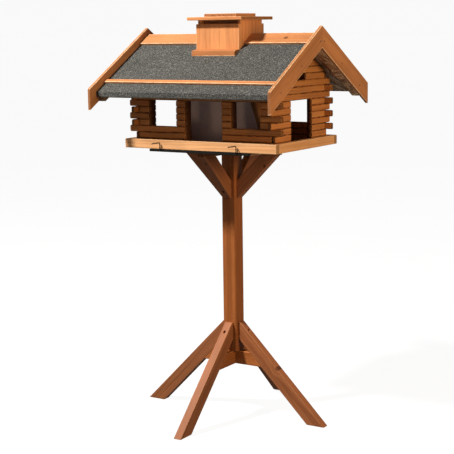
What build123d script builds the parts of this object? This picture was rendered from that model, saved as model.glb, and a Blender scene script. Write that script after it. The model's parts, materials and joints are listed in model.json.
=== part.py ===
"""Bird feeder house on a four-legged post stand, in millimetres.

X runs along the ridge, Y across the roof (the front, with the drawer, is -Y) and Z is up.
The origin is on the ground, below the middle of the post.
"""
from build123d import *
import math
import os

# ---- driving dimensions -----------------------------------------------------------------
POST_HALF = 22.5            # square post, 45 x 45
POST_EASE = 3.0             # chamfer on the post's long edges
POST_BOTTOM = 188.0
BRACE_DEPTH = 39.0          # legs and struts are cut from 39 x 24 stock at 45 degrees
BRACE_HALF = 12.0
LEG_REACH = 302.5           # toe of each leg, from the middle of the post
LEG_TOP = 274.0
STRUT_FOOT = 637.0          # blunt lower end of a strut
STRUT_TOE_Z = 610.0         # where a strut's lower edge would meet the post's centre line
CROSS_SCREW = 60.0          # length of the screw up through the stretchers into the post

HEAD_Z = (765.0, 777.0)     # two lapped bars on top of the post
HEAD_HALF_LENGTH = 160.0
HEAD_BACK_END = 171.0

TRAY_HALF_X = 247.5
TRAY_HALF_Y = 174.0
RAIL_THICK = 18.0
RAIL_Z = (786.0, 811.5)
FLOOR_THICK = 8.0
FLOOR_HOLE = (130.0, 105.0)  # half sizes of the opening above the drawer

LIP_Z = (778.5, 785.5)      # black front strip of the drawer
LIP_HALF_LENGTH = 163.0
LIP_Y = (-175.0, -167.0)
PLATE_Z = (781.0, 784.0)
PLATE_HALF_X = 138.0
PLATE_BACK = 150.0
PULL_X = 125.0              # bent wire finger pulls
PULL_WIRE = 1.5             # wire radius
PULL_TOP = 804.0
PULL_FRONT = -217.0
PULL_FACE = -177.5
PULL_BEND = 4.0

SLAT_THICK = 10.0
SLAT_PITCH = 18.0
WALL_X = 229.0              # outer face of the gable slats
WALL_Y = 146.0              # outer face of the front and back slats
LOG_END = 21.5              # how far crossing slats stand out at the corners
DOOR_HALF = 59.0
GABLE_DOOR_HALF = 58.0
WINDOW_X = (91.0, 181.0)
SILL_ROW = 3                # windows start on top of the third row
LINTEL_ROW = 7              # the row that closes doors and windows
VENT_ROW = 10               # gable row with a short slot left open
VENT_HALF = 25.0
LAST_WALL_ROW = 10
LAST_GABLE_ROW = 15
POST_DEPTH = 20.0           # thickness of the wall posts behind the slats

ROOF_PITCH = 30.5
ROOF_APEX = 1095.0          # top of the felt at the ridge
ROOF_HALF_X = 285.0
EAVE_Y = 250.0
BOARD_THICK = 12.0
FELT_THICK = 2.5
FELT_FOLD = 933.0           # lower edge of the felt folded over the eave
BARGE_THICK = 8.5
BARGE_APEX = 1121.0
BARGE_HEIGHT = 59.5         # vertical height of a barge board
BARGE_END_Y = 280.0
TRIM_THICK = 6.5
RIDGE_BOARD_Y = 41.0
BATTEN_Y = (204.0, 216.0)
VERGE_BATTEN_X = 23.0
VERGE_BATTEN_HEIGHT = 17.0
VERGE_BATTEN_END = 240.0

CHIMNEY_X = 70.5
CHIMNEY_Y = 67.0
CHIMNEY_THICK = 10.0
CHIMNEY_FRONT_TOP = 1129.0
CHIMNEY_SIDE_TOP = 1139.4
FILL_HOLE = (58.0, 55.0)
SKIRT_REACH = 25.0
SKIRT_FRONT_TOP = 1055.5
SKIRT_BACK_TOP = 1060.0
CAP_X = 89.0
CAP_Y = 85.5
CAP_THICK = 9.0
CAP_TOP_HALF = 52.5
CAP_BLOCK = (58.0, 40.0, 12.4)

SILO_NECK_X = 58.0          # half width of the silo below the chimney
SILO_NECK_Z = 1038.7        # the side boards flare out below this height
SILO_FLARE = 0.345          # sideways reach of a side board for each millimetre of fall
SILO_BOARD = 8.5            # horizontal thickness of the side boards
SILO_HALF_Y = 62.0
SILO_PLATE_Y = (57.0, 60.0)
SILO_PLATE_BOTTOM = 800.0   # leaves a gap for the seed above the drawer

SCREW_HEAD = 4.0
SCREW_HEAD_LENGTH = 3.5
SCREW_SHANK = 1.8
NAIL_HEAD = 2.6
NAIL_HEAD_LENGTH = 1.2
NAIL_SHANK = 1.1

# ---- values that follow from them ---------------------------------------------------------
SLOPE = math.tan(math.radians(ROOF_PITCH))
COS_PITCH = math.cos(math.radians(ROOF_PITCH))
SIN_PITCH = math.sin(math.radians(ROOF_PITCH))
BRACE_CUT = BRACE_DEPTH * math.sqrt(2)          # length of a straight cut across 45 degree stock
BOARD_TOP_APEX = ROOF_APEX - FELT_THICK / COS_PITCH
CEILING_APEX = BOARD_TOP_APEX - BOARD_THICK / COS_PITCH
FLOOR_TOP = RAIL_Z[0] + FLOOR_THICK
FLOOR_HALF_X = TRAY_HALF_X - RAIL_THICK
FLOOR_HALF_Y = TRAY_HALF_Y - RAIL_THICK
INNER_X = WALL_X - SLAT_THICK
INNER_Y = WALL_Y - SLAT_THICK
BIG = 400.0

os.makedirs("parts", exist_ok=True)


# ---- small helpers --------------------------------------------------------------------------
def block(x0, x1, y0, y1, z0, z1):
    """Axis-aligned box between two corners."""
    centre = Pos((x0 + x1) / 2, (y0 + y1) / 2, (z0 + z1) / 2)
    return centre * Box(x1 - x0, y1 - y0, z1 - z0)


def prism_along_x(points, x0, x1):
    """Extrude an outline given as (y, z) points from x0 to x1."""
    outline = Wire.make_polygon([Vector(x0, y, z) for y, z in points], close=True)
    return extrude(Face(outline), amount=x1 - x0, dir=(1, 0, 0))


def prism_along_y(points, y0, y1):
    """Extrude an outline given as (x, z) points from y0 to y1."""
    outline = Wire.make_polygon([Vector(x, y0, z) for x, z in points], close=True)
    return extrude(Face(outline), amount=y1 - y0, dir=(0, 1, 0))


def rod(start, direction, radius, length):
    """Round rod from start along direction."""
    plane = Plane(origin=start, z_dir=direction)
    return plane * Cylinder(radius, length, align=(Align.CENTER, Align.CENTER, Align.MIN))


def screw(head_face, direction, length, head=SCREW_HEAD, head_length=SCREW_HEAD_LENGTH,
          shank=SCREW_SHANK):
    """Screw whose head's outer face is at head_face, driven along direction."""
    d = Vector(*direction).normalized()
    seat = Vector(*head_face) + d * head_length
    return rod(head_face, d, head, head_length) + rod(seat, d, shank, length - head_length)


def turned(shape, quarter_turns):
    return Rot(0, 0, 90 * quarter_turns) * shape


def mirrored_y(shape):
    return mirror(shape, about=Plane.XZ)


def mirrored_x(shape):
    return mirror(shape, about=Plane.YZ)


def slope_z(apex, y):
    """Height of a roof surface with the given apex at distance y from the ridge."""
    return apex - SLOPE * abs(y)


def under_roof():
    """Everything below the ceiling planes, for cutting walls to the roof."""
    eave = slope_z(CEILING_APEX, BIG)
    return prism_along_x([(-BIG, eave), (0, CEILING_APEX), (BIG, eave), (BIG, 0), (-BIG, 0)], -BIG, BIG)


NODES = {}


def keep(name, *shapes):
    """Store the solids of one node, leaving out empty results."""
    solids = []
    for shape in shapes:
        solids.extend(shape.solids())
    NODES[name] = Compound(children=solids) if len(solids) > 1 else solids[0]


# ---- stand ------------------------------------------------------------------------------------
def make_post():
    post = block(-POST_HALF, POST_HALF, -POST_HALF, POST_HALF, POST_BOTTOM, HEAD_Z[0])
    return chamfer(post.edges().filter_by(Axis.Z), POST_EASE)


def make_leg():
    """The leg that runs towards +X."""
    foot_inner = LEG_REACH - BRACE_CUT
    points = [(POST_HALF, LEG_TOP), (LEG_REACH - LEG_TOP, LEG_TOP), (LEG_REACH, 0), (foot_inner, 0),
              (POST_HALF, foot_inner - POST_HALF)]
    return prism_along_y(points, -BRACE_HALF, BRACE_HALF)


def make_strut():
    """The strut that runs towards +X and holds a head bar."""
    toe = STRUT_FOOT - STRUT_TOE_Z
    top = HEAD_Z[0] - STRUT_TOE_Z
    points = [(POST_HALF, STRUT_FOOT), (toe, STRUT_FOOT), (top, HEAD_Z[0]), (top - BRACE_CUT, HEAD_Z[0]),
              (POST_HALF, STRUT_TOE_Z + BRACE_CUT + POST_HALF)]
    return prism_along_y(points, -BRACE_HALF, BRACE_HALF)


def brace_screws(face_at_height, z, sink=7.0, length=44.0):
    """Four screws through the sloping faces of the braces into the post, and their bores."""
    head_x = face_at_height - sink
    one = screw((head_x, 0, z), (-1, 0, 0), length)
    bore = rod((head_x, 0, z), (1, 0, 0), SCREW_HEAD, sink + 2 * SCREW_HEAD)
    return [turned(one, i) for i in range(4)], [turned(bore, i) for i in range(4)]


def strut_top_screws(reach=134.0, sink=6.0, length=22.0):
    """Four screws from below through the struts into the head bars, and their bores."""
    head_z = STRUT_TOE_Z + reach + sink
    one = screw((reach, 0, head_z), (0, 0, 1), length)
    bore = rod((reach, 0, head_z), (0, 0, -1), SCREW_HEAD, sink + 2 * SCREW_HEAD)
    return [turned(one, i) for i in range(4)], [turned(bore, i) for i in range(4)]


def make_stretchers():
    """Two boards halved over each other under the post, their ends cut to the inner faces of the legs."""
    foot_inner = LEG_REACH - BRACE_CUT
    low, high = POST_BOTTOM - BRACE_DEPTH, POST_BOTTOM
    middle = (low + high) / 2
    half_low, half_high = foot_inner - low, foot_inner - high
    outline = [(-half_low, low), (half_low, low), (half_high, high), (-half_high, high)]
    board = prism_along_y(outline, -BRACE_HALF, BRACE_HALF)
    w = BRACE_HALF
    return board - block(-w, w, -w, w, middle, high), turned(board, 1) - block(-w, w, -w, w, low, middle)


def make_head_bars():
    """Two bars halved over each other on top of the post."""
    low, high = HEAD_Z
    middle = (low + high) / 2
    w = BRACE_HALF
    bar_x = block(-HEAD_HALF_LENGTH, HEAD_HALF_LENGTH, -w, w, low, high)
    bar_y = block(-w, w, -HEAD_HALF_LENGTH, HEAD_BACK_END, low, high)
    return bar_x - block(-w, w, -w, w, middle, high), bar_y - block(-w, w, -w, w, low, middle)


def build_stand():
    leg_screws, leg_bores = brace_screws(LEG_REACH - 250.0, 250.0)
    foot_screws, foot_bores = brace_screws(658.0 - STRUT_TOE_Z, 658.0, sink=5.0)
    top_screws, top_bores = strut_top_screws()
    cross_screw = screw((0, 0, POST_BOTTOM - BRACE_DEPTH), (0, 0, 1), CROSS_SCREW)
    post_screw = screw((0, 0, HEAD_Z[1]), (0, 0, -1), 45.0)
    cutters = leg_screws + leg_bores + foot_screws + foot_bores + top_screws + top_bores
    cutters += [cross_screw, post_screw]

    def drilled(shape):
        for cutter in cutters:
            shape = shape - cutter
        return shape

    keep("post", drilled(make_post()))
    for i, side in enumerate(("right", "back", "left", "front")):
        keep("leg_" + side, drilled(turned(make_leg(), i)))
        keep("strut_" + side, drilled(turned(make_strut(), i)))
    stretcher_x, stretcher_y = make_stretchers()
    keep("stretcher_x", drilled(stretcher_x))
    keep("stretcher_y", drilled(stretcher_y))
    bar_x, bar_y = make_head_bars()
    keep("head_bar_x", drilled(bar_x))
    keep("head_bar_y", drilled(bar_y))
    keep("leg_screws", *leg_screws, cross_screw)
    keep("strut_screws", *foot_screws, *top_screws, post_screw)


# ---- tray and drawer ---------------------------------------------------------------------------
def make_runner():
    """Right-hand drawer runner: a strip with a ledge under the plate's edge."""
    ledge_top = PLATE_Z[0] - 0.5
    side = PLATE_HALF_X + 1.0
    points = [(130.0, HEAD_Z[1]), (161.0, HEAD_Z[1]), (161.0, RAIL_Z[0]), (side, RAIL_Z[0]),
              (side, ledge_top), (130.0, ledge_top)]
    return prism_along_y(points, -158.0, 156.0)


def make_pull():
    """Bent wire at +X: out of the strip, up the rail's face, then forwards."""
    z = (LIP_Z[0] + LIP_Z[1]) / 2
    corners = [(PULL_X, LIP_Y[1] - 2.0, z), (PULL_X, PULL_FACE, z), (PULL_X, PULL_FACE, PULL_TOP),
               (PULL_X, PULL_FRONT, PULL_TOP)]
    path = FilletPolyline(*corners, radius=PULL_BEND)
    section = Plane(origin=corners[0], z_dir=(0, -1, 0)) * Circle(PULL_WIRE)
    return sweep(section, path=path)


def build_tray():
    z0, z1 = RAIL_Z
    x, y = TRAY_HALF_X, TRAY_HALF_Y
    keep("rail_front", block(-x, x, -y, -FLOOR_HALF_Y, z0, z1))
    keep("rail_back", block(-x, x, FLOOR_HALF_Y, y, z0, z1))
    keep("rail_left", block(-x, -FLOOR_HALF_X, -FLOOR_HALF_Y, FLOOR_HALF_Y, z0, z1))
    keep("rail_right", block(FLOOR_HALF_X, x, -FLOOR_HALF_Y, FLOOR_HALF_Y, z0, z1))
    floor = block(-FLOOR_HALF_X, FLOOR_HALF_X, -FLOOR_HALF_Y, FLOOR_HALF_Y, z0, FLOOR_TOP)
    hx, hy = FLOOR_HOLE
    keep("floor_panel", floor - block(-hx, hx, -hy, hy, z0 - 1, FLOOR_TOP + 1))
    runner = make_runner()
    keep("runner_right", runner)
    keep("runner_left", mirrored_x(runner))
    keep("drawer_stop", block(-BRACE_HALF, BRACE_HALF, PLATE_BACK + 3.0, HEAD_BACK_END, HEAD_Z[1], z0))


def build_drawer():
    pulls = [make_pull()]
    pulls.append(mirrored_x(pulls[0]))
    lip = block(-LIP_HALF_LENGTH, LIP_HALF_LENGTH, *LIP_Y, *LIP_Z)
    for pull in pulls:
        lip = lip - pull
    keep("drawer_plate", block(-PLATE_HALF_X, PLATE_HALF_X, LIP_Y[1], PLATE_BACK, *PLATE_Z))
    keep("drawer_front_strip", lip)
    keep("wire_pulls", *pulls)


# ---- log walls -----------------------------------------------------------------------------------
def row_z(row):
    return FLOOR_TOP + row * SLAT_PITCH


def spans(row, end, openings):
    """Slat pieces of one row: the length up to +-end, minus the openings that cross it."""
    pieces = [(-end, end)]
    for low, high, first, last in openings:
        if not first <= row <= last:
            continue
        cut = []
        for a, b in pieces:
            if b <= low or a >= high:
                cut.append((a, b))
                continue
            if a < low:
                cut.append((a, low))
            if b > high:
                cut.append((high, b))
        pieces = cut
    return pieces


def long_wall_rows(first, last):
    """Front wall slats, rows first to last."""
    w0, w1 = WINDOW_X
    openings = [(-DOOR_HALF, DOOR_HALF, 0, LINTEL_ROW - 1), (w0, w1, SILL_ROW, LINTEL_ROW - 1),
                (-w1, -w0, SILL_ROW, LINTEL_ROW - 1)]
    slats = []
    for row in range(first, last + 1):
        end = INNER_X if row % 2 else WALL_X
        if row % 2 == 0 and 2 <= row < LAST_WALL_ROW:
            end = WALL_X + LOG_END
        for a, b in spans(row, end, openings):
            slats.append(block(a, b, -WALL_Y, -INNER_Y, row_z(row), row_z(row + 1)))
    return slats


def gable_rows(first, last):
    """Right gable slats, rows first to last, cut to the roof above the eaves."""
    openings = [(-GABLE_DOOR_HALF, GABLE_DOOR_HALF, 0, LINTEL_ROW - 1), (-VENT_HALF, VENT_HALF, VENT_ROW, VENT_ROW)]
    limit = under_roof()
    slats = []
    for row in range(first, last + 1):
        end = WALL_Y if row % 2 else INNER_Y
        if row % 2 and 3 <= row < VENT_ROW:
            end = WALL_Y + LOG_END
        if row > VENT_ROW:
            end = EAVE_Y
        for a, b in spans(row, end, openings):
            slat = block(INNER_X, WALL_X, a, b, row_z(row), row_z(row + 1))
            slats.append(slat & limit if row >= VENT_ROW else slat)
    return slats


def upright(x0, x1, y0, y1):
    """Wall post from the floor to the ceiling."""
    return block(x0, x1, y0, y1, FLOOR_TOP, CEILING_APEX) & under_roof()


def build_walls():
    limit = under_roof()
    low = long_wall_rows(0, LINTEL_ROW - 1)
    high = [s & limit for s in long_wall_rows(LINTEL_ROW, LAST_WALL_ROW)]
    keep("front_slats_low", *low)
    keep("front_slats_high", *high)
    keep("back_slats_low", *[mirrored_y(s) for s in low])
    keep("back_slats_high", *[mirrored_y(s) for s in high])
    low = gable_rows(0, LINTEL_ROW - 1)
    high = gable_rows(LINTEL_ROW, LAST_GABLE_ROW)
    keep("right_slats_low", *low)
    keep("right_slats_high", *high)
    keep("left_slats_low", *[mirrored_x(s) for s in low])
    keep("left_slats_high", *[mirrored_x(s) for s in high])
    post_y = INNER_Y - POST_DEPTH
    corners, piers, sides = [], [], []
    for sx in (-1, 1):
        for sy in (-1, 1):
            y0, y1 = sorted((sy * post_y, sy * INNER_Y))
            corners.append(upright(*sorted((sx * WINDOW_X[1], sx * INNER_X)), y0, y1))
            piers.append(upright(*sorted((sx * DOOR_HALF, sx * WINDOW_X[0])), y0, y1))
            s0, s1 = sorted((sy * (post_y - 24.0), sy * post_y))
            sides.append(upright(*sorted((sx * (INNER_X - POST_DEPTH), sx * INNER_X)), s0, s1))
    keep("wall_posts", *corners, *piers)
    keep("gable_posts", *sides)


# ---- roof ---------------------------------------------------------------------------------------
def lying_strip(y0, y1, x0, x1, thickness):
    """Strip lying on the front slope between distances y0 and y1 from the ridge."""
    out_y, out_z = -thickness * SIN_PITCH, thickness * COS_PITCH
    lower = (-y1, slope_z(ROOF_APEX, y1))
    upper = (-y0, slope_z(ROOF_APEX, y0))
    raised_lower = (lower[0] + out_y, lower[1] + out_z)
    raised_upper = (0, ROOF_APEX + thickness / COS_PITCH) if y0 == 0 else (upper[0] + out_y, upper[1] + out_z)
    return prism_along_x([upper, lower, raised_lower, raised_upper], x0, x1)


def sloping_board(apex_top, apex_bottom, end_y, x0, x1):
    """Front board between two parallel sloping planes, from the ridge to end_y."""
    points = [(0, apex_top), (-end_y, slope_z(apex_top, end_y)), (-end_y, slope_z(apex_bottom, end_y)),
              (0, apex_bottom)]
    return prism_along_x(points, x0, x1)


def make_felt():
    """Front felt with its fold over the eave."""
    out = EAVE_Y + FELT_THICK
    points = [(0, ROOF_APEX), (-out, slope_z(ROOF_APEX, out)), (-out, FELT_FOLD), (-EAVE_Y, FELT_FOLD),
              (-EAVE_Y, slope_z(BOARD_TOP_APEX, EAVE_Y)), (0, BOARD_TOP_APEX)]
    return prism_along_x(points, -ROOF_HALF_X, ROOF_HALF_X)


def barge_nails():
    """Nails through the right-hand barge boards into the edges of the roof panels."""
    nails = []
    for y in (10.0, 116.0, 226.0):
        z = slope_z(BARGE_APEX, y) - 0.62 * BARGE_HEIGHT
        head = (ROOF_HALF_X + BARGE_THICK, -y, z)
        nails.append(screw(head, (-1, 0, 0), 22.0, NAIL_HEAD, NAIL_HEAD_LENGTH, NAIL_SHANK))
    return nails + [mirrored_y(n) for n in nails]


def build_roof():
    x = ROOF_HALF_X
    hx, hy = FILL_HOLE
    hole = block(-hx, hx, -hy, hy, ROOF_APEX - BIG, ROOF_APEX + BIG)
    nails_right = barge_nails()
    nails = nails_right + [mirrored_x(n) for n in nails_right]
    panel = sloping_board(BOARD_TOP_APEX, CEILING_APEX, EAVE_Y, -x, x) - hole
    for nail in nails:
        panel = panel - nail
    felt = make_felt() - hole
    keep("roof_panel_front", panel)
    keep("roof_panel_back", mirrored_y(panel))
    keep("felt_front", felt)
    keep("felt_back", mirrored_y(felt))
    batten = lying_strip(BATTEN_Y[0], BATTEN_Y[1], -x, x, TRIM_THICK)
    keep("roof_battens", batten, mirrored_y(batten))
    ridge = [lying_strip(0, RIDGE_BOARD_Y, a, b, TRIM_THICK) for a, b in ((-x, -CHIMNEY_X), (CHIMNEY_X, x))]
    keep("ridge_boards_front", *ridge)
    keep("ridge_boards_back", *[mirrored_y(r) for r in ridge])
    verge = sloping_board(CEILING_APEX, CEILING_APEX - VERGE_BATTEN_HEIGHT, VERGE_BATTEN_END, x - VERGE_BATTEN_X, x)
    board = sloping_board(BARGE_APEX, BARGE_APEX - BARGE_HEIGHT, BARGE_END_Y, x, x + BARGE_THICK)
    for nail in nails_right:
        board = board - nail
    verges = [verge, mirrored_y(verge)]
    keep("verge_battens", *verges, *[mirrored_x(v) for v in verges])
    keep("barge_right_front", board)
    keep("barge_right_back", mirrored_y(board))
    keep("barge_left_front", mirrored_x(board))
    keep("barge_left_back", mirrored_x(mirrored_y(board)))
    keep("barge_nails", *nails)


# ---- chimney and cap ------------------------------------------------------------------------------
def build_chimney():
    x, y, t = CHIMNEY_X, CHIMNEY_Y, CHIMNEY_THICK
    roof = prism_along_x([(-BIG, slope_z(ROOF_APEX, BIG)), (0, ROOF_APEX), (BIG, slope_z(ROOF_APEX, BIG)),
                          (BIG, 0), (-BIG, 0)], -BIG, BIG)
    front = block(-x, x, -y, -y + t, 1000.0, CHIMNEY_FRONT_TOP) - roof
    side = block(x - t, x, -y + t, y - t, 1000.0, CHIMNEY_SIDE_TOP) - roof
    keep("chimney_front", front)
    keep("chimney_back", mirrored_y(front))
    keep("chimney_right", side)
    keep("chimney_left", mirrored_x(side))
    reach = y + SKIRT_REACH
    points = [(-y, slope_z(ROOF_APEX, y)), (-reach, slope_z(ROOF_APEX, reach)), (-reach, SKIRT_FRONT_TOP),
              (-y, SKIRT_BACK_TOP)]
    skirt = prism_along_x(points, -x, x)
    keep("chimney_skirts", skirt, mirrored_y(skirt))


def build_cap():
    z = CHIMNEY_SIDE_TOP
    bx, by, bh = CAP_BLOCK
    top = z + CAP_THICK
    keep("cap_plate", block(-CAP_X, CAP_X, -CAP_Y, CAP_Y, z, top))
    keep("cap_top_plate", block(-CAP_TOP_HALF, CAP_TOP_HALF, -CAP_TOP_HALF, CAP_TOP_HALF, top, top + CAP_THICK))
    keep("cap_block", block(-bx, bx, -by, by, z - bh, z))


# ---- seed silo --------------------------------------------------------------------------------------
def silo_x(z):
    """Half width inside the silo at height z, below its neck."""
    return SILO_NECK_X + SILO_FLARE * (SILO_NECK_Z - z)


def build_silo():
    """Hopper below the chimney: two flared side boards with collars above, and two tinted plates between them."""
    limit = under_roof()
    neck, t, y = SILO_NECK_X, SILO_BOARD, SILO_HALF_Y
    foot = silo_x(FLOOR_TOP)
    outline = [(neck, SILO_NECK_Z), (neck + t, SILO_NECK_Z), (foot + t, FLOOR_TOP), (foot, FLOOR_TOP)]
    side = prism_along_y(outline, -y, y)
    collar = block(neck, neck + t, -y, y, SILO_NECK_Z, CEILING_APEX) & limit
    keep("silo_sides", side, collar, mirrored_x(side), mirrored_x(collar))
    low = silo_x(SILO_PLATE_BOTTOM)
    outline = [(-low, SILO_PLATE_BOTTOM), (low, SILO_PLATE_BOTTOM), (neck, SILO_NECK_Z), (neck, CEILING_APEX),
               (-neck, CEILING_APEX), (-neck, SILO_NECK_Z)]
    plate = prism_along_y(outline, -SILO_PLATE_Y[1], -SILO_PLATE_Y[0]) & limit
    keep("silo_plate_front", plate)
    keep("silo_plate_back", mirrored_y(plate))


build_stand()
build_tray()
build_drawer()
build_walls()
build_roof()
build_chimney()
build_cap()
build_silo()
for name, shape in NODES.items():
    export_step(shape, os.path.join("parts", name + ".step"))
print(len(NODES), "nodes")
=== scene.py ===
"""Looks for the bird feeder house on its post stand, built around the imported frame."""
import json
import math
import random

import bmesh
import bpy
import numpy as np
from mathutils import Matrix, Vector, noise


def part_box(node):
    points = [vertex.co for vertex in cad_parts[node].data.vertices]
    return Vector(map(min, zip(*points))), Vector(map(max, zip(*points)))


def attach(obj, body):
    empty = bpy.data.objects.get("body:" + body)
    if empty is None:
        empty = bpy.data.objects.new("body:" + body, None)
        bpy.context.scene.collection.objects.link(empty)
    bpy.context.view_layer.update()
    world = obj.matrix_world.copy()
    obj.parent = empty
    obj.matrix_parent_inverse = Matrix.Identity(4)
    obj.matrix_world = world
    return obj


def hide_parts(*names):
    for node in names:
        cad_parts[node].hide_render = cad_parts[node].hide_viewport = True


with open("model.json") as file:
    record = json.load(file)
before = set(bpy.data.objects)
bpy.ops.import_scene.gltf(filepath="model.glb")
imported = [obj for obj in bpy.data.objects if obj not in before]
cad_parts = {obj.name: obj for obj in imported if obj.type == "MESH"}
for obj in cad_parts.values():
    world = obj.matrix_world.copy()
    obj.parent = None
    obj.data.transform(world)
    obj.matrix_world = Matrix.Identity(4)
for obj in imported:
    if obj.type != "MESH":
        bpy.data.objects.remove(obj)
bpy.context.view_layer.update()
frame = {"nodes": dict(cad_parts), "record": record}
NODES = frame["nodes"]
rng = random.Random(417)

MM = 0.001

# Mesh work
FLAT_ANGLE = math.radians(1.0)    # faces that meet at less become one face
SHARP_ANGLE = math.radians(25)    # edges of a board or sheet
RIM_ANGLE = math.radians(60)      # edges round a wire's end
SHORT_EDGE = 6 * MM               # edges no longer than this stay sharp, such as those round a bore
SIDE_LEAN = 0.3                   # a face looking less than this along the grain is a side
EASE_SPREAD = (0.8, 1.15)         # how much edge rounding varies from board to board

# Felt
FELT_GRID = ((0, 9 * MM), (1, 7 * MM))    # axis, spacing of the cuts that let it wave
FELT_EASE = 0.5 * MM
FELT_TOP = 0.35                           # upward part of the normal above which felt waves
FELT_WAVE = 0.45                          # mm
WIDE_WAVE, FINE_WAVE = 22.0, 60.0         # waves per metre, roughly

# Screw and nail heads, in head radii
HEAD_SEGMENTS, HEAD_RINGS = 48, 12
HEAD_DOME, HEAD_SINK, HEAD_SIDE = 0.16, 0.2, 0.45
RECESS_ARM, RECESS_REACH, RECESS_DEPTH = 0.13, 0.58, 0.30
SHANK = 0.45
SHANK_LENGTH = 0.95               # share of the CAD solid's length

WIRE_END_EASE = 0.5 * MM
BLACK_EASE, PLATE_EASE = 0.6 * MM, 0.4 * MM

# Camera
CAMERA_PLACE = (1.8884, -3.0026, 1.1164)
CAMERA_YAW, CAMERA_PITCH, CAMERA_ROLL = 32.331, 9.07, 0.751    # degrees
CAMERA_LENS, CAMERA_SENSOR, CAMERA_SHIFT_X = 98.68, 36.0, -0.00468
CAMERA_CLIP_END = 500.0

# Floor, surround and lights
FLOOR_HALF, FLOOR_DROP, FLOOR_GLOW = 150.0, 0.3 * MM, 0.93
WORLD_SEEN, WORLD_AMBIENT = 0.95, 0.15
LIGHTS = (    # name, place, target, watts, diameter, colour
    ("key", (-1.36, -1.93, 3.44), (0.0, 0.0, 1.0), 225.0, 0.35, (1.0, 0.97, 0.93)),
    ("fill", (1.75, -0.35, 1.15), (0.2, 0.0, 0.95), 17.5, 0.7, (1.0, 0.76, 0.46)),
    ("front_fill", (-1.0, -2.8, 0.45), (0.0, 0.0, 0.85), 3.2, 0.8, (1.0, 0.76, 0.52)),
)


# ---- node graphs ----------------------------------------------------------------------------
class Graph:
    """One material's node tree, ending in a Principled shader."""

    def __init__(self, name):
        self.material = bpy.data.materials.new(name)
        self.material.use_nodes = True
        self.tree = self.material.node_tree
        self.tree.nodes.clear()
        self.shader = self.node("BsdfPrincipled")
        output = self.node("OutputMaterial")
        self.tree.links.new(self.shader.outputs["BSDF"], output.inputs["Surface"])

    def node(self, kind, **settings):
        made = self.tree.nodes.new("ShaderNode" + kind)
        for key, value in settings.items():
            setattr(made, key, value)
        return made

    def feed(self, socket, value):
        """Links another node's output to the socket, or sets a plain value on it."""
        if isinstance(value, bpy.types.NodeSocket):
            self.tree.links.new(value, socket)
        else:
            socket.default_value = value

    def attribute(self, name):
        return self.node("Attribute", attribute_name=name).outputs["Vector"]

    def place(self):
        """Where a point lies in the object's own frame, in metres."""
        return self.node("TexCoord").outputs["Object"]

    def math(self, operation, *values):
        made = self.node("Math", operation=operation)
        for socket, value in zip(made.inputs, values):
            self.feed(socket, value)
        return made.outputs[0]

    def add(self, total, *others):
        for other in others:
            total = self.math("ADD", total, other)
        return total

    def times(self, product, *others):
        for other in others:
            product = self.math("MULTIPLY", product, other)
        return product

    def less(self, value, taken):
        return self.math("SUBTRACT", value, taken)

    def times_add(self, value, factor, added):
        return self.math("MULTIPLY_ADD", value, factor, added)

    def vector_math(self, operation, *values):
        made = self.node("VectorMath", operation=operation)
        for socket, value in zip(made.inputs, values):
            self.feed(socket, value)
        return made.outputs["Value"] if operation == "DOT_PRODUCT" else made.outputs[0]

    def scaled(self, vector, factor):
        return self.vector_math("MULTIPLY", vector, factor)

    def split(self, vector):
        made = self.node("SeparateXYZ")
        self.feed(made.inputs[0], vector)
        return made.outputs[0], made.outputs[1], made.outputs[2]

    def joined(self, x, y, z):
        made = self.node("CombineXYZ")
        for socket, value in zip(made.inputs, (x, y, z)):
            self.feed(socket, value)
        return made.outputs[0]

    def noise(self, vector, scale=1.0, detail=2.0, rough=0.5):
        made = self.node("TexNoise")
        self.feed(made.inputs["Vector"], vector)
        made.inputs["Scale"].default_value = scale
        made.inputs["Detail"].default_value = detail
        made.inputs["Roughness"].default_value = rough
        return made.outputs["Fac"]

    def streaks(self, vector, along, across, detail, rough=0.5):
        """Noise drawn out along x, with its scale along and across given per metre."""
        return self.noise(self.scaled(vector, (along, across, across)), detail=detail, rough=rough)

    def cells(self, vector, scale=1.0, feature="F1", output="Distance"):
        made = self.node("TexVoronoi", feature=feature)
        self.feed(made.inputs["Vector"], vector)
        made.inputs["Scale"].default_value = scale
        return made.outputs[output]

    def remap(self, value, start, stop, low=0.0, high=1.0, smooth=True):
        made = self.node("MapRange", interpolation_type="SMOOTHSTEP" if smooth else "LINEAR")
        for socket, item in zip(made.inputs, (value, start, stop, low, high)):
            self.feed(socket, item)
        return made.outputs[0]

    def ramp(self, value, stops):
        """A ramp whose stops are colours, or single numbers for greys."""
        made = self.node("ValToRGB")
        self.feed(made.inputs[0], value)
        points = made.color_ramp.elements
        while len(points) < len(stops):
            points.new(0.5)
        for point, (place, colour) in zip(points, stops):
            point.position = place
            point.color = (*(colour if isinstance(colour, tuple) else (colour,) * 3), 1.0)
        return made.outputs[0]

    def mix(self, factor, a, b):
        made = self.node("Mix", data_type="RGBA")
        for socket, value in ((made.inputs[0], factor), (made.inputs[6], a), (made.inputs[7], b)):
            if isinstance(value, tuple):
                value = (*value, 1.0)
            self.feed(socket, value)
        return made.outputs[2]

    def gain(self, colour, factor):
        """Colour times a number that changes over the surface."""
        return self.vector_math("MULTIPLY", colour, self.joined(factor, factor, factor))

    def bump(self, height, strength, distance):
        made = self.node("Bump")
        made.inputs["Strength"].default_value = strength
        made.inputs["Distance"].default_value = distance
        self.feed(made.inputs["Height"], height)
        return made.outputs[0]

    def finish(self, colour, roughness, normal=None, **constants):
        if isinstance(colour, tuple):
            colour = (*colour, 1.0)
        self.feed(self.shader.inputs["Base Color"], colour)
        self.feed(self.shader.inputs["Roughness"], roughness)
        if normal is not None:
            self.feed(self.shader.inputs["Normal"], normal)
        for name, value in constants.items():
            self.shader.inputs[name.replace("_", " ")].default_value = value
        return self.material


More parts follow.
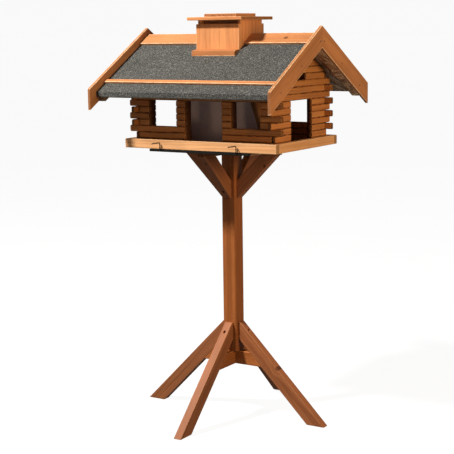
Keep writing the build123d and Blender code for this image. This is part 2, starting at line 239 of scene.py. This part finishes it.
def toned(colour, factor):
    return tuple(factor * c for c in colour)


# ---- materials ------------------------------------------------------------------------------
SEED_SHIFT = (9.0, 7.0, 5.0)      # moves each board to its own part of the noise
PITH_LEAN = 0.07                  # most that the pith slopes across a board
PITH_ASIDE = 0.07                 # width of the strip that the pith may lie in
PITH_BELOW, PITH_DEEPER = 0.014, 0.04
KNOTS_PER_METRE = 6.5
KNOT_CORE = (0.030, 0.052)        # where a knot fades out, in its own cell's width
KNOT_BEND = (0.03, 0.17)          # where the rings stop bending round it
KNOT_PULL = 0.006
KNOT_RINGS = 95.0
END_FACING = (0.72, 0.95)         # how squarely a face looks along the board to show end grain
# Start and softness of the edge band: rubbed stain, with painted shade and highlight on some boards
WEAR_AND_LIGHT_START, WEAR_AND_LIGHT_SOFT = -0.9 * MM, 0.6 * MM


def growth_rings(g, seed, place, moved, knot_pull, ring, wander_size):
    """Late-wood bands of a plain-sawn board: arcs about a pith that lies beside the board."""
    along, across, through = g.split(place)
    s1, s2, s3 = g.split(seed)
    wander = g.streaks(moved, 2.2, 9.0, detail=2.0)
    lean = g.times(along, g.times(g.less(s3, 0.5), PITH_LEAN))
    ring_v = g.add(across, lean, g.times(g.less(s1, 0.5), PITH_ASIDE),
                   g.times(g.less(wander, 0.5), wander_size))
    ring_w = g.add(through, g.times_add(s2, PITH_DEEPER, PITH_BELOW))
    radius = g.math("SQRT", g.add(g.times(ring_v, ring_v), g.times(ring_w, ring_w)))
    radius = g.add(radius, g.times(knot_pull, KNOT_PULL))
    ripple = g.streaks(moved, 14.0, 160.0, detail=3.0)
    phase = g.times_add(ripple, 0.35, g.math("DIVIDE", radius, ring))
    band = g.ramp(g.math("FRACT", phase), [(0.0, 0.05), (0.55, 0.2), (0.86, 1.0), (1.0, 0.05)])
    return band, ripple


def edge_distance(g, place):
    """Distance from a surface point to the nearest long edge of its board."""
    half = g.attribute("board_half")
    a, b, c = g.split(g.vector_math("SUBTRACT", half, g.vector_math("ABSOLUTE", place)))
    largest = g.math("MAXIMUM", a, g.math("MAXIMUM", b, c))
    least = g.math("MINIMUM", a, g.math("MINIMUM", b, c))
    total = g.add(a, g.add(b, c))
    return g.less(g.less(total, largest), least)


def wood(name, light, dark, wear_and_painted_light, rough=0.5, ring=4.5 * MM, wander=0.022, contrast=0.62,
         wear_and_light_weight=0.5, wear_and_light_reach=4.2 * MM, end_tone=0.5):
    """Stained softwood along each board's own length: growth rings, fibres, knots, end grain.

    The edges take a colour of their own. On most boards it is paler than the faces, where the stain
    has rubbed off; on the trim it is partly a painted highlight as well. On the log slats it is
    nearly
    black: painted shade in the grooves between them.
    """
    g = Graph(name)
    place = g.attribute("board_place")
    seed = g.attribute("board_seed")
    s1, s2, s3 = g.split(seed)
    moved = g.vector_math("ADD", place, g.scaled(seed, SEED_SHIFT))
    u, v, _ = g.split(moved)
    knot_cell = g.joined(g.times(u, KNOTS_PER_METRE), g.times(v, KNOTS_PER_METRE), s3)
    knot_distance = g.cells(knot_cell)
    knot_pull = g.remap(knot_distance, *KNOT_BEND, 1.0, 0.0)
    band, ripple = growth_rings(g, seed, place, moved, knot_pull, ring, wander)

    fibre = g.streaks(moved, 9.0, 900.0, detail=4.0, rough=0.65)
    streak = g.streaks(moved, 3.0, 110.0, detail=3.0, rough=0.6)
    blotch = g.streaks(moved, 7.0, 26.0, detail=3.0)
    colour = g.mix(g.times(band, contrast), light, dark)
    colour = g.mix(g.remap(streak, 0.42, 0.78, 0.0, 0.55), colour, dark)
    board_tone = g.remap(s2, 0.0, 1.0, 0.88, 1.12, smooth=False)
    level = g.times(g.remap(fibre, 0.25, 0.75, 0.84, 1.12), g.remap(blotch, 0.3, 0.7, 0.9, 1.08),
                    board_tone)
    colour = g.gain(colour, level)
    hue = g.less(s1, 0.5)
    tint = g.joined(1.0, g.times_add(hue, 0.10, 1.0), g.times_add(hue, 0.22, 1.0))
    colour = g.vector_math("MULTIPLY", colour, tint)

    knot_rim = g.remap(knot_distance, *KNOT_CORE, 1.0, 0.0)
    knot_rings = g.math("FRACT", g.times_add(ripple, 0.8, g.times(knot_distance, KNOT_RINGS)))
    colour = g.mix(knot_rim, colour, g.mix(knot_rings, toned(dark, 0.30), toned(dark, 0.75)))

    outward = g.node("NewGeometry").outputs["Normal"]
    facing = g.math("ABSOLUTE", g.vector_math("DOT_PRODUCT", outward, g.attribute("board_along")))
    end = g.remap(facing, *END_FACING)
    pores = g.noise(moved, scale=700.0, detail=3.0)
    end_colour = g.gain(g.mix(band, toned(light, end_tone), toned(dark, 0.9 * end_tone)),
                        g.remap(pores, 0.3, 0.7, 0.75, 1.15))
    colour = g.mix(g.times(end, 0.85), colour, end_colour)

    # Edge band: rubbed stain, painted shade in log slat grooves, partly painted highlight on trim
    edge_wobble = g.streaks(moved, 60.0, 240.0, detail=3.0, rough=0.7)
    reach = g.times_add(edge_wobble, wear_and_light_reach, WEAR_AND_LIGHT_START)
    wear_and_light_mask = g.remap(g.less(edge_distance(g, place), reach), -WEAR_AND_LIGHT_SOFT, WEAR_AND_LIGHT_SOFT, 1.0, 0.0)
    colour = g.mix(g.times(wear_and_light_mask, wear_and_light_weight), colour, wear_and_painted_light)

    height = g.less(g.add(g.times(fibre, 0.9), g.times(band, 0.35)), g.times(wear_and_light_mask, 0.25))
    height = g.add(height, g.times(pores, end, 0.8), g.times(knot_rim, 0.4))
    roughness = g.add(g.remap(fibre, 0.25, 0.75, rough - 0.07, rough + 0.09), g.times(wear_and_light_mask, 0.12))
    roughness = g.times_add(end, 0.2, roughness)
    return g.finish(colour, roughness, g.bump(height, 0.55, 0.5 * MM), Specular_IOR_Level=0.2)


FLAKES_ALONG, FLAKES_ACROSS = 19.0, 85.0      # per metre
FLAKE_ANGLES = (8.0, 52.0, -34.0, 85.0, -67.0)
FLAKE_STEP, SPREAD_STEP = 3.7, 11.0           # keep the layers' patterns apart
RAW_EDGE = (5.2 * MM, 5.9 * MM)               # distance from the board's middle plane


def flake_layer(g, u, v, index, degrees):
    """One layer of pressed flakes at an angle: colour, height, and where it covers those below."""
    c, s = math.cos(math.radians(degrees)), math.sin(math.radians(degrees))
    p = g.add(g.times(u, c * FLAKES_ALONG), g.times(v, s * FLAKES_ALONG))
    q = g.less(g.times(v, c * FLAKES_ACROSS), g.times(u, s * FLAKES_ACROSS))
    flat = g.joined(p, q, FLAKE_STEP * index)
    tone, lift, _ = g.split(g.cells(flat, output="Color"))
    rim = g.cells(flat, feature="DISTANCE_TO_EDGE")
    flake = g.ramp(tone, [(0.0, (0.26, 0.140, 0.062)), (0.35, (0.48, 0.270, 0.130)),
                          (0.7, (0.66, 0.42, 0.23)), (1.0, (0.85, 0.62, 0.39))])
    fibre = g.noise(g.joined(g.times(p, 0.6), g.times(q, 9.0), 0.0))
    flake = g.gain(flake, g.remap(fibre, 0.3, 0.7, 0.82, 1.12))
    flake = g.gain(flake, g.remap(rim, 0.0, 0.09, 0.5, 1.0))
    rise = g.times_add(g.remap(rim, 0.0, 0.12), 0.5, lift)
    cover = g.noise(g.joined(g.times(p, 0.9), g.times(q, 0.9), SPREAD_STEP * index), detail=1.0)
    return flake, rise, g.math("GREATER_THAN", cover, 0.52)


def strand_board():
    """Oriented strand board: pressed flakes lying at many angles, with layered raw edges."""
    g = Graph("strand_board")
    place = g.attribute("board_place")
    u, v, w = g.split(place)
    colour, height, _ = flake_layer(g, u, v, 0, FLAKE_ANGLES[0])
    for index, degrees in enumerate(FLAKE_ANGLES[1:], start=1):
        flake, rise, patch = flake_layer(g, u, v, index, degrees)
        colour = g.mix(patch, colour, flake)
        height = g.add(g.times(height, g.less(1.0, patch)), g.times(rise, patch))
    layers = g.noise(g.scaled(place, (40.0, 60.0, 900.0)), detail=4.0, rough=0.7)
    raw_edge = g.ramp(layers, [(0.3, (0.08, 0.045, 0.025)), (0.55, (0.24, 0.15, 0.085)),
                               (0.75, (0.44, 0.31, 0.19))])
    end = g.remap(g.math("ABSOLUTE", w), *RAW_EDGE, 1.0, 0.0)
    colour = g.mix(g.times(end, 0.9), colour, raw_edge)
    return g.finish(colour, g.remap(height, 0.0, 1.2, 0.82, 0.62), g.bump(height, 0.6, 0.7 * MM),
                    Specular_IOR_Level=0.3)


def felt():
    """Mineral-surfaced roofing felt: fine granules in dark bitumen."""
    g = Graph("roofing_felt")
    place = g.place()
    granules = 900.0
    tone, other, third = g.split(g.cells(place, scale=granules, output="Color"))
    gap = g.cells(place, scale=granules)
    clump = g.noise(place, scale=230.0, detail=2.0, rough=0.7)
    drift = g.noise(place, scale=9.0, detail=4.0, rough=0.6)
    colour = g.ramp(tone, [(0.0, (0.032, 0.032, 0.029)), (0.45, (0.050, 0.050, 0.046)),
                           (0.8, (0.070, 0.069, 0.062)), (0.92, (0.12, 0.118, 0.105)),
                           (1.0, (0.30, 0.295, 0.27))])
    colour = g.gain(colour, g.remap(clump, 0.32, 0.68, 0.45, 1.6))
    colour = g.gain(colour, g.remap(drift, 0.3, 0.7, 0.88, 1.10))
    height = g.less(g.times_add(other, 0.5, clump), gap)
    roughness = g.remap(third, 0.0, 1.0, 0.8, 0.95, smooth=False)
    return g.finish(colour, roughness, g.bump(height, 0.6, 0.8 * MM), Specular_IOR_Level=0.25)


def black_sheet():
    """Black moulded sheet with a fine texture, rubbed paler along scratches."""
    g = Graph("black_sheet")
    place = g.place()
    stipple = g.noise(place, scale=1500.0, detail=2.0)
    scratch = g.remap(g.streaks(place, 6.0, 160.0, detail=5.0, rough=0.7), 0.62, 0.72)
    colour = g.mix(g.times(scratch, 0.3), (0.008, 0.007, 0.006), (0.03, 0.028, 0.026))
    roughness = g.times_add(scratch, 0.18, g.remap(stipple, 0.3, 0.7, 0.46, 0.6))
    return g.finish(colour, roughness, g.bump(stipple, 0.25, 0.15 * MM), Specular_IOR_Level=0.2)


def enamel_wire():
    """Black enamelled steel wire with small chips down to the metal."""
    g = Graph("enamelled_wire")
    place = g.place()
    chips = g.remap(g.noise(place, scale=420.0, detail=4.0, rough=0.7), 0.68, 0.72)
    colour = g.mix(chips, (0.010, 0.008, 0.007), (0.20, 0.18, 0.16))
    run = g.noise(place, scale=160.0, detail=2.0)
    height = g.less(g.times(run, 0.3), chips)
    return g.finish(colour, g.times_add(chips, 0.2, 0.4), g.bump(height, 0.4, 0.12 * MM),
                    Specular_IOR_Level=0.3)


def smoke_sheet():
    """Stand-in for the silo's smoke-tinted sheet, lightly scuffed by seed.

    It is pale and nearly opaque, and looks mid grey only because it is in the house's shade.
    """
    g = Graph("smoke_sheet")
    scuff = g.noise(g.scaled(g.place(), (40.0, 9.0, 9.0)), scale=6.0, detail=6.0, rough=0.75)
    scuff = g.remap(scuff, 0.5, 0.75)
    colour = g.mix(g.times(scuff, 0.4), (0.86, 0.64, 0.58), (0.90, 0.72, 0.65))
    return g.finish(colour, g.remap(scuff, 0.0, 1.0, 0.42, 0.55), Transmission_Weight=0.1, IOR=1.49)


def zinc():
    """Dull zinc-plated steel of the screws and nails."""
    g = Graph("dull_zinc")
    bloom = g.noise(g.place(), scale=900.0, detail=4.0, rough=0.7)
    colour = g.ramp(bloom, [(0.3, (0.16, 0.12, 0.085)), (0.55, (0.32, 0.27, 0.21)),
                            (0.8, (0.48, 0.44, 0.37))])
    return g.finish(colour, g.remap(bloom, 0.3, 0.7, 0.52, 0.3), g.bump(bloom, 0.3, 0.1 * MM),
                    Metallic=0.9)


# ---- solids of a node -----------------------------------------------------------------------
def solids_of(mesh):
    """The closed solids of a mesh, each a list of faces given by their corner positions.

    Faces come solid by solid, so a solid is whole when each of its edges has met its pair.
    """
    unpaired, faces, found = set(), [], []
    for polygon in mesh.polygons:
        corners = [tuple(round(c, 6) for c in mesh.vertices[i].co) for i in polygon.vertices]
        for a, b in zip(corners, corners[1:] + corners[:1]):
            unpaired ^= {frozenset((a, b))}
        faces.append(corners)
        if not unpaired:
            found.append(faces)
            faces = []
    if faces:
        found.append(faces)
    return found


def cleaned(solid):
    """The solid as a bmesh with shared corners and whole flat faces."""
    made = bmesh.new()
    corners = {}
    for face in solid:
        for corner in face:
            if corner not in corners:
                corners[corner] = made.verts.new(corner)
    for face in solid:
        around = [corners[c] for c in face]
        if len(set(around)) == len(around) and made.faces.get(around) is None:
            made.faces.new(around)
    made.normal_update()
    bmesh.ops.dissolve_limit(made, angle_limit=FLAT_ANGLE, verts=made.verts, edges=made.edges)
    return made


def sharp_edges(board, shortest, angle=SHARP_ANGLE):
    """Edges longer than the shortest, between faces that meet at more than the angle."""
    return [e for e in board.edges if len(e.link_faces) == 2 and e.calc_length() > shortest
            and e.calc_face_angle(0.0) > angle]


def bevel(made, edges, width, segments, profile=0.0):
    bmesh.ops.bevel(made, geom=edges, offset=width, offset_type="OFFSET", segments=segments,
                    profile=profile, affect="EDGES", clamp_overlap=True)


def board_axes(board, grain):
    """Length, width and thickness directions of a board, from its longest edge and broadest face."""
    along = Vector(grain) if grain else None
    if along is None:
        longest = max(sharp_edges(board, 0.0), key=lambda e: e.calc_length())
        along = (longest.verts[1].co - longest.verts[0].co).normalized()
    sides = [f for f in board.faces if abs(f.normal.dot(along)) < SIDE_LEAN]
    thick = max(sides, key=lambda f: f.calc_area()).normal
    thick = (thick - along * thick.dot(along)).normalized()
    return along, thick.cross(along).normalized(), thick


class Pieces:
    """Collects solids into one object with the marks that the wood materials read."""

    MARKS = ("board_place", "board_half", "board_along", "board_seed")

    def __init__(self):
        self.points, self.faces, self.smooth = [], [], []
        self.marks = {name: [] for name in self.MARKS}

    def add(self, made, axes=None, smooth=False):
        made.verts.index_update()
        first = len(self.points)
        points = np.array([v.co for v in made.verts])
        self.points.extend(points.tolist())
        self.faces.extend([first + v.index for v in f.verts] for f in made.faces)
        self.smooth.extend([smooth] * len(made.faces))
        if axes is not None:
            local = points @ np.array(axes).T
            low, high = local.min(0), local.max(0)
            seed = [rng.random() for _ in range(3)]
            rows = (local - (low + high) / 2, (high - low) / 2, axes[0], seed)
            for name, row in zip(self.MARKS, rows):
                self.marks[name].extend(np.broadcast_to(np.array(row), points.shape).tolist())
        made.free()

    def place(self, node, material, suffix):
        """Makes the object, standing for the CAD node on that node's body."""
        mesh = bpy.data.meshes.new(f"{node}_{suffix}")
        mesh.from_pydata(self.points, [], self.faces)
        mesh.polygons.foreach_set("use_smooth", self.smooth)
        if self.marks["board_place"]:
            for name, values in self.marks.items():
                made = mesh.attributes.new(name, "FLOAT_VECTOR", "POINT")
                made.data.foreach_set("vector", np.array(values, np.float32).ravel())
        mesh.materials.append(material)
        mesh.update()
        piece = bpy.data.objects.new(f"{node}_{suffix}", mesh)
        bpy.context.scene.collection.objects.link(piece)
        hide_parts(node)
        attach(piece, BODY_OF[node])


# ---- pieces ---------------------------------------------------------------------------------
def boards(node, material, ease, grain=None):
    """Every board of a node again, with eased edges and its own grain."""
    pieces = Pieces()
    for solid in solids_of(NODES[node].data):
        board = cleaned(solid)
        axes = board_axes(board, grain)
        width = ease * rng.uniform(*EASE_SPREAD)
        bevel(board, sharp_edges(board, SHORT_EDGE), width, segments=2, profile=0.5)
        pieces.add(board, axes)
    pieces.place(node, material, "wood")


def felt_sheet(node, material):
    """Roofing felt with slight waves where it lies over the boards."""
    sheet = cleaned(solids_of(NODES[node].data)[0])
    low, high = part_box(node)
    for axis, step in FELT_GRID:
        count = int((high[axis] - low[axis]) / step)
        for i in range(1, count):
            middle = Vector((0, 0, 0))
            middle[axis] = low[axis] + i * (high[axis] - low[axis]) / count
            normal = Vector((0, 0, 0))
            normal[axis] = 1
            whole = sheet.verts[:] + sheet.edges[:] + sheet.faces[:]
            bmesh.ops.bisect_plane(sheet, geom=whole, plane_co=middle, plane_no=normal, dist=1e-6)
    sheet.normal_update()
    bevel(sheet, sharp_edges(sheet, 0.0), FELT_EASE, segments=1)
    sheet.normal_update()
    for vertex in sheet.verts:
        if vertex.normal.z > FELT_TOP:
            wave = noise.noise(vertex.co * WIDE_WAVE) + 0.5 * noise.noise(vertex.co * FINE_WAVE)
            vertex.co += vertex.normal * (FELT_WAVE + FELT_WAVE * wave) * MM
    pieces = Pieces()
    pieces.add(sheet)
    pieces.place(node, material, "sheet")


def screw_frame(solid):
    """A screw's or nail's outer face middle, outward direction, head radius and length."""
    points = np.array([c for face in solid for c in face])
    middle = points.mean(0)
    _, directions = np.linalg.eigh(np.cov((points - middle).T))
    axis = directions[:, 2]
    height = (points - middle) @ axis
    around = np.linalg.norm((points - middle) - np.outer(height, axis), axis=1)
    if height[around > 0.9 * around.max()].mean() < 0:
        axis, height = -axis, -height
    outer = points[height > height.max() - 0.01 * MM]
    centre = middle + (outer - middle).mean(0)
    radius = np.linalg.norm(outer - centre, axis=1).max()
    return Vector(centre), Vector(axis), radius, float(height.max() - height.min())


def head_height(x, y, radius, recess):
    """Height of a domed head over its rim, less its cross-shaped recess."""
    r = math.hypot(x, y) / radius
    height = HEAD_DOME * radius * (1 - r * r)
    near, far = sorted((abs(x), abs(y)))
    if recess and near < RECESS_ARM * radius and far < RECESS_REACH * radius:
        height -= RECESS_DEPTH * radius
    return height


def fixing(centre, axis, radius, length, recess):
    """A screw or nail: domed head, rim, cone and shank, turned to a chance angle."""
    made = bmesh.new()
    turn = Matrix.Rotation(rng.uniform(0, math.pi), 4, "Z")
    place = Matrix.Translation(centre) @ axis.to_track_quat("Z", "Y").to_matrix().to_4x4() @ turn
    sink = HEAD_SINK * radius
    angles = [2 * math.pi * k / HEAD_SEGMENTS for k in range(HEAD_SEGMENTS)]

    def corner(x, y, z):
        return made.verts.new(place @ Vector((x, y, z)))

    def on_head(x, y):
        return corner(x, y, head_height(x, y, radius, recess) - sink)

    top = on_head(0, 0)
    loops = []
    for i in range(1, HEAD_RINGS + 1):
        reach = radius * i / HEAD_RINGS
        rim = [(reach * math.cos(a), reach * math.sin(a)) for a in angles]
        loops.append([on_head(x, y) for x, y in rim])
    for scale, z in ((1.0, -HEAD_SIDE * radius - sink), (SHANK, -radius - sink),
                     (SHANK, -SHANK_LENGTH * length)):
        loops.append([corner(x * scale, y * scale, z) for x, y in rim])
    for k in range(HEAD_SEGMENTS):
        made.faces.new((top, loops[0][k], loops[0][(k + 1) % HEAD_SEGMENTS]))
    for inner, outer in zip(loops, loops[1:]):
        for k in range(HEAD_SEGMENTS):
            n = (k + 1) % HEAD_SEGMENTS
            made.faces.new((inner[k], outer[k], outer[n], inner[n]))
    made.faces.new(loops[-1])
    return made


def fixings(node, material, recess):
    pieces = Pieces()
    for solid in solids_of(NODES[node].data):
        pieces.add(fixing(*screw_frame(solid), recess))
    pieces.place(node, material, "heads")


def wires(node, material):
    """The two bent wires, smooth-sided, with stepped ends."""
    pieces = Pieces()
    for solid in solids_of(NODES[node].data):
        wire = cleaned(solid)
        bevel(wire, sharp_edges(wire, 0.0, RIM_ANGLE), WIRE_END_EASE, segments=3)
        pieces.add(wire, smooth=True)
    pieces.place(node, material, "wire")


def sheets(node, material, ease):
    """Moulded or cut sheet, with a small step along its edges."""
    pieces = Pieces()
    for solid in solids_of(NODES[node].data):
        sheet = cleaned(solid)
        bevel(sheet, sharp_edges(sheet, SHORT_EDGE), ease, segments=2)
        pieces.add(sheet)
    pieces.place(node, material, "sheet")


# ---- dress the frame ------------------------------------------------------------------------
SLOT_OF = {row["node"]: row["material_slot"] for row in frame["record"]["subparts"]}
BODIES = frame["record"]["behaviour"]["bodies"]
BODY_OF = {node: body for body, nodes in BODIES.items() for node in nodes}
UPRIGHT_GRAIN = {"chimney_front", "chimney_back", "chimney_left", "chimney_right"}
INNER_POSTS = {"wall_posts", "gable_posts"}

WOODS = {    # slot: material, edge rounding in mm
    "post_timber": (wood("post_pine", light=(0.40, 0.125, 0.031), dark=(0.25, 0.066, 0.014),
                         wear_and_painted_light=(0.58, 0.27, 0.10), ring=5.5 * MM), 1.6),
    "brace_timber": (wood("brace_pine", light=(0.37, 0.130, 0.048), dark=(0.23, 0.068, 0.022),
                          wear_and_painted_light=(0.46, 0.20, 0.085), contrast=0.75, wander=0.035), 1.3),
    "tray_timber": (wood("tray_pine", light=(0.74, 0.380, 0.165), dark=(0.52, 0.220, 0.078),
                         wear_and_painted_light=(0.82, 0.55, 0.31)), 1.4),
    # Nearly black edges: painted shade in the grooves between the log slats.
    "log_slats": (wood("log_pine", light=(0.52, 0.200, 0.054), dark=(0.33, 0.104, 0.024),
                       wear_and_painted_light=(0.022, 0.005, 0.001), ring=3.6 * MM, wear_and_light_weight=1.0,
                       wear_and_light_reach=4.6 * MM, end_tone=0.28), 3.3),
    "inner_timber": (wood("inner_pine", light=(0.44, 0.185, 0.060), dark=(0.27, 0.092, 0.026),
                          wear_and_painted_light=(0.55, 0.28, 0.12), rough=0.6), 0.8),
    # Very pale edges: partly rubbed stain, partly a painted highlight on the lit top edges.
    "trim_timber": (wood("trim_pine", light=(0.50, 0.200, 0.072), dark=(0.35, 0.122, 0.040),
                         wear_and_painted_light=(0.88, 0.62, 0.38), contrast=0.35, wear_and_light_weight=0.85), 1.1),
    "chimney_timber": (wood("chimney_pine", light=(0.62, 0.262, 0.100),
                            dark=(0.40, 0.135, 0.042), wear_and_painted_light=(0.78, 0.46, 0.22), ring=11.0 * MM,
                            wander=0.07, contrast=0.5), 1.0),
    "roof_board": (strand_board(), 0.5),
}
# Inner posts at the openings, coloured near black: painted shade on the window and door reveals.
SHADE_PAINTED_POSTS = wood("jamb_pine_painted_shade", light=(0.11, 0.036, 0.012), dark=(0.06, 0.018, 0.006),
                  wear_and_painted_light=(0.20, 0.085, 0.03))
FELT, BLACK, WIRE, SMOKE, ZINC = felt(), black_sheet(), enamel_wire(), smoke_sheet(), zinc()

for node in sorted(NODES):
    slot = SLOT_OF[node]
    if slot in WOODS:
        material, ease = WOODS[slot]
        boards(node, SHADE_PAINTED_POSTS if node in INNER_POSTS else material, ease * MM,
               (0, 0, 1) if node in UPRIGHT_GRAIN else None)
    elif slot == "roof_felt":
        felt_sheet(node, FELT)
    elif slot == "fixings":
        fixings(node, ZINC, recess=node != "barge_nails")
    elif slot == "wire_black":
        wires(node, WIRE)
    elif slot == "drawer_black":
        sheets(node, BLACK, BLACK_EASE)
    else:
        sheets(node, SMOKE, PLATE_EASE)


# ---- floor, light, camera -------------------------------------------------------------------
def make_floor():
    """Pale floor that glows, so it looks nearly white and adds no light to the object."""
    mesh = bpy.data.meshes.new("floor")
    corners = [(x * FLOOR_HALF, y * FLOOR_HALF, 0) for x, y in ((-1, -1), (1, -1), (1, 1), (-1, 1))]
    mesh.from_pydata(corners, [], [(0, 1, 2, 3)])
    floor = bpy.data.objects.new("floor", mesh)
    floor.location.z = -FLOOR_DROP
    bpy.context.scene.collection.objects.link(floor)
    g = Graph("pale_floor")
    drift = g.noise(g.place(), scale=1.5, detail=3.0)
    colour = g.mix(drift, (0.10, 0.10, 0.10), (0.12, 0.12, 0.12))
    mesh.materials.append(g.finish(colour, 0.9, Specular_IOR_Level=0.1,
                                   Emission_Color=(1.0, 1.0, 1.0, 1.0),
                                   Emission_Strength=FLOOR_GLOW))
    floor.visible_diffuse = False
    floor.visible_glossy = False


def soft_light(name, place, target, power, size, colour):
    """Round soft light at place, facing target."""
    data = bpy.data.lights.new(name, "AREA")
    data.shape = "DISK"
    data.size = size
    data.energy = power
    data.color = colour
    lamp = bpy.data.objects.new(name, data)
    lamp.location = place
    lamp.rotation_euler = (Vector(place) - Vector(target)).to_track_quat("Z", "Y").to_euler()
    lamp.visible_camera = False
    bpy.context.scene.collection.objects.link(lamp)


def make_world():
    """White surround that the camera sees, with a weaker share of it as ambient light."""
    world = bpy.data.worlds.new("studio")
    bpy.context.scene.world = world
    world.use_nodes = True
    tree = world.node_tree
    background = tree.nodes["Background"]
    background.inputs["Color"].default_value = (1.0, 1.0, 1.0, 1.0)
    path = tree.nodes.new("ShaderNodeLightPath")
    level = tree.nodes.new("ShaderNodeMapRange")
    level.inputs["To Min"].default_value = WORLD_AMBIENT
    level.inputs["To Max"].default_value = WORLD_SEEN
    tree.links.new(path.outputs["Is Camera Ray"], level.inputs["Value"])
    tree.links.new(level.outputs["Result"], background.inputs["Strength"])


def make_camera():
    """Camera at the photograph's viewing angle."""
    yaw, pitch, roll = (math.radians(a) for a in (CAMERA_YAW, CAMERA_PITCH, CAMERA_ROLL))
    forward = Vector((-math.sin(yaw) * math.cos(pitch), math.cos(yaw) * math.cos(pitch),
                      -math.sin(pitch)))
    level = Vector((math.cos(yaw), math.sin(yaw), 0.0))
    down = forward.cross(level)
    right = math.cos(roll) * level + math.sin(roll) * down
    up = -(forward.cross(right))
    data = bpy.data.cameras.new("camera")
    data.sensor_width = CAMERA_SENSOR
    data.lens = CAMERA_LENS
    data.shift_x = CAMERA_SHIFT_X
    data.clip_end = CAMERA_CLIP_END
    camera = bpy.data.objects.new("camera", data)
    rotation = Matrix((right, up, -forward)).transposed()
    camera.matrix_world = Matrix.Translation(CAMERA_PLACE) @ rotation.to_4x4()
    bpy.context.scene.collection.objects.link(camera)
    bpy.context.scene.camera = camera


make_floor()
for light in LIGHTS:
    soft_light(*light)
make_world()
make_camera()
bpy.context.scene.view_settings.view_transform = "Standard"
